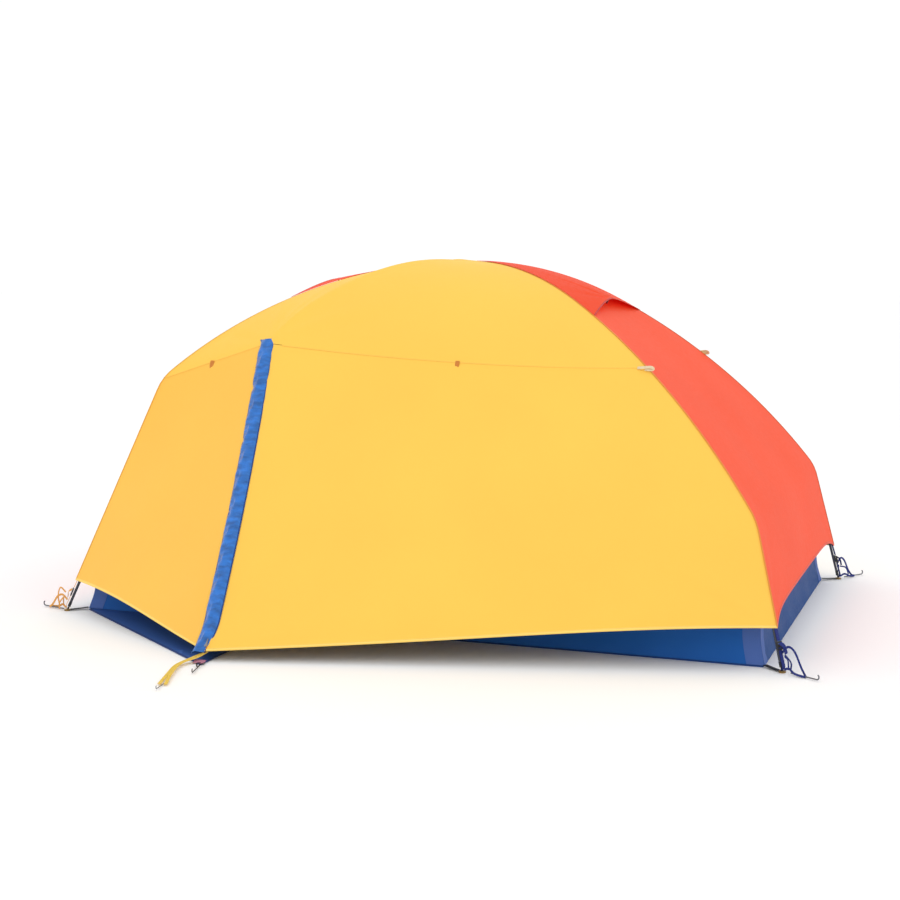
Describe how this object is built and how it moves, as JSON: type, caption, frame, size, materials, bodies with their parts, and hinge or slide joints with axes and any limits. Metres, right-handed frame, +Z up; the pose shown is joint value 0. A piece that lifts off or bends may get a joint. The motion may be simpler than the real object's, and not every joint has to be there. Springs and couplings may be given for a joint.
{
  "type": "dome tent",
  "caption": "Two-person dome tent on crossing poles with a brow pole, a clipped inner tent, a yellow and orange rain fly, a zipped vestibule each side, end vents and a groundsheet.",
  "frame": {"origin": "On the ground, midway between the four pole feet", "axes": "+X runs along the tent from the head end to the foot end, +Y from the front door to the back door, +Z up"},
  "size_m": [2.5182, 2.8844, 1.133],
  "materials": {
    "fly_yellow": "sewn ripstop nylon, golden yellow, low sheen",
    "fly_orange": "sewn ripstop nylon, red-orange, low sheen",
    "fly_blue": "bright blue nylon storm flap, satin",
    "navy_fabric": "coated navy nylon, low sheen",
    "tub_blue": "coated mid-blue nylon, low sheen",
    "canopy_pale": "uncoated pale grey nylon and mesh",
    "mesh_dark": "dark knitted mesh",
    "webbing_navy": "woven navy-purple webbing",
    "webbing_dark": "woven dark webbing",
    "webbing_yellow": "woven yellow webbing",
    "webbing_brown": "woven brown webbing",
    "pole_aluminium": "anodised aluminium tube",
    "peg_aluminium": "brushed grey aluminium rod",
    "black_plastic": "moulded black nylon, matt",
    "zip_coil": "orange coil zip",
    "slider_metal": "die-cast zip slider",
    "grommet_brass": "rolled brass grommet",
    "shock_cord": "elastic core cord"
  },
  "bodies": {
    "tent": {"groundsheet": "navy_fabric", "floor": "navy_fabric", "tub_walls": "tub_blue", "canopy_front_wall": "canopy_pale", "canopy_back_wall": "canopy_pale", "canopy_head_wall": "canopy_pale", "canopy_foot_wall": "canopy_pale", "canopy_roof": "canopy_pale", "mesh_pockets": "mesh_dark", "lantern_loop": "webbing_yellow", "canopy_clips": "black_plastic", "brow_sleeve_tabs": "webbing_dark", "floor_corner_straps": "webbing_dark", "foot_grommets": "grommet_brass", "pole_a_tubes": "pole_aluminium", "pole_b_tubes": "pole_aluminium", "pole_a_ferrules": "pole_aluminium", "pole_b_ferrules": "pole_aluminium", "pole_a_shock_cord": "shock_cord", "pole_b_shock_cord": "shock_cord", "pole_tips": "black_plastic", "crown_clip": "black_plastic", "brow_pole": "pole_aluminium", "brow_pole_tips": "black_plastic", "fly_roof": "fly_yellow", "fly_head_end": "fly_orange", "fly_foot_end": "fly_orange", "head_vent_hood": "fly_orange", "foot_vent_hood": "fly_orange", "fly_front_head_panel": "fly_yellow", "fly_back_head_panel": "fly_yellow", "fly_front_foot_panel": "fly_yellow", "fly_back_foot_panel": "fly_yellow", "zip_fixed_coils": "zip_coil", "fly_corner_straps": "webbing_navy", "corner_buckles": "black_plastic", "stake_loops": "webbing_navy", "apex_tapes": "webbing_yellow", "guy_loops": "webbing_brown", "pegs": "peg_aluminium"},
    "front_door": {"front_door": "fly_yellow", "front_storm_flap": "fly_blue", "front_door_coil": "zip_coil"},
    "back_door": {"back_door": "fly_yellow", "back_storm_flap": "fly_blue", "back_door_coil": "zip_coil"},
    "front_inner_door": {"front_inner_door": "canopy_pale"},
    "back_inner_door": {"back_inner_door": "canopy_pale"},
    "front_zip_slider": {"front_zip_slider": "slider_metal"},
    "back_zip_slider": {"back_zip_slider": "slider_metal"},
    "head_vent_stay": {"head_vent_stay": "mesh_dark"},
    "foot_vent_stay": {"foot_vent_stay": "mesh_dark"}
  },
  "joints": [
    {"name": "front_door_lift", "type": "hinge", "parent": "tent", "child": "front_door", "pos_m": [-0.49, -0.54, 0.872], "axis": [-0.9051, 0.0767, 0.4183], "range_deg": [0, 130]},
    {"name": "back_door_lift", "type": "hinge", "parent": "tent", "child": "back_door", "pos_m": [-0.49, 0.54, 0.872], "axis": [0.9051, 0.0767, -0.4183], "range_deg": [0, 130]},
    {"name": "front_inner_door_swing", "type": "hinge", "parent": "tent", "child": "front_inner_door", "pos_m": [0.33, -0.632, 0.165], "axis": [0, -0.3167, -0.9485], "range_deg": [0, 55]},
    {"name": "back_inner_door_swing", "type": "hinge", "parent": "tent", "child": "back_inner_door", "pos_m": [0.33, 0.632, 0.165], "axis": [0, -0.3167, 0.9485], "range_deg": [0, 55]},
    {"name": "front_zip_slide", "type": "slide", "parent": "tent", "child": "front_zip_slider", "axis": [-0.078, 0.5655, 0.821], "range_m": [0, 0.93]},
    {"name": "back_zip_slide", "type": "slide", "parent": "tent", "child": "back_zip_slider", "axis": [-0.078, -0.5655, 0.821], "range_m": [0, 0.93]},
    {"name": "head_vent_stay_fold", "type": "hinge", "parent": "tent", "child": "head_vent_stay", "pos_m": [-0.48256, 0, 1.0656], "axis": [0, -1, 0], "range_deg": [0, 80]},
    {"name": "foot_vent_stay_fold", "type": "hinge", "parent": "tent", "child": "foot_vent_stay", "pos_m": [0.47149, 0, 1.00843], "axis": [0, 1, 0], "range_deg": [0, 80]}
  ]
}
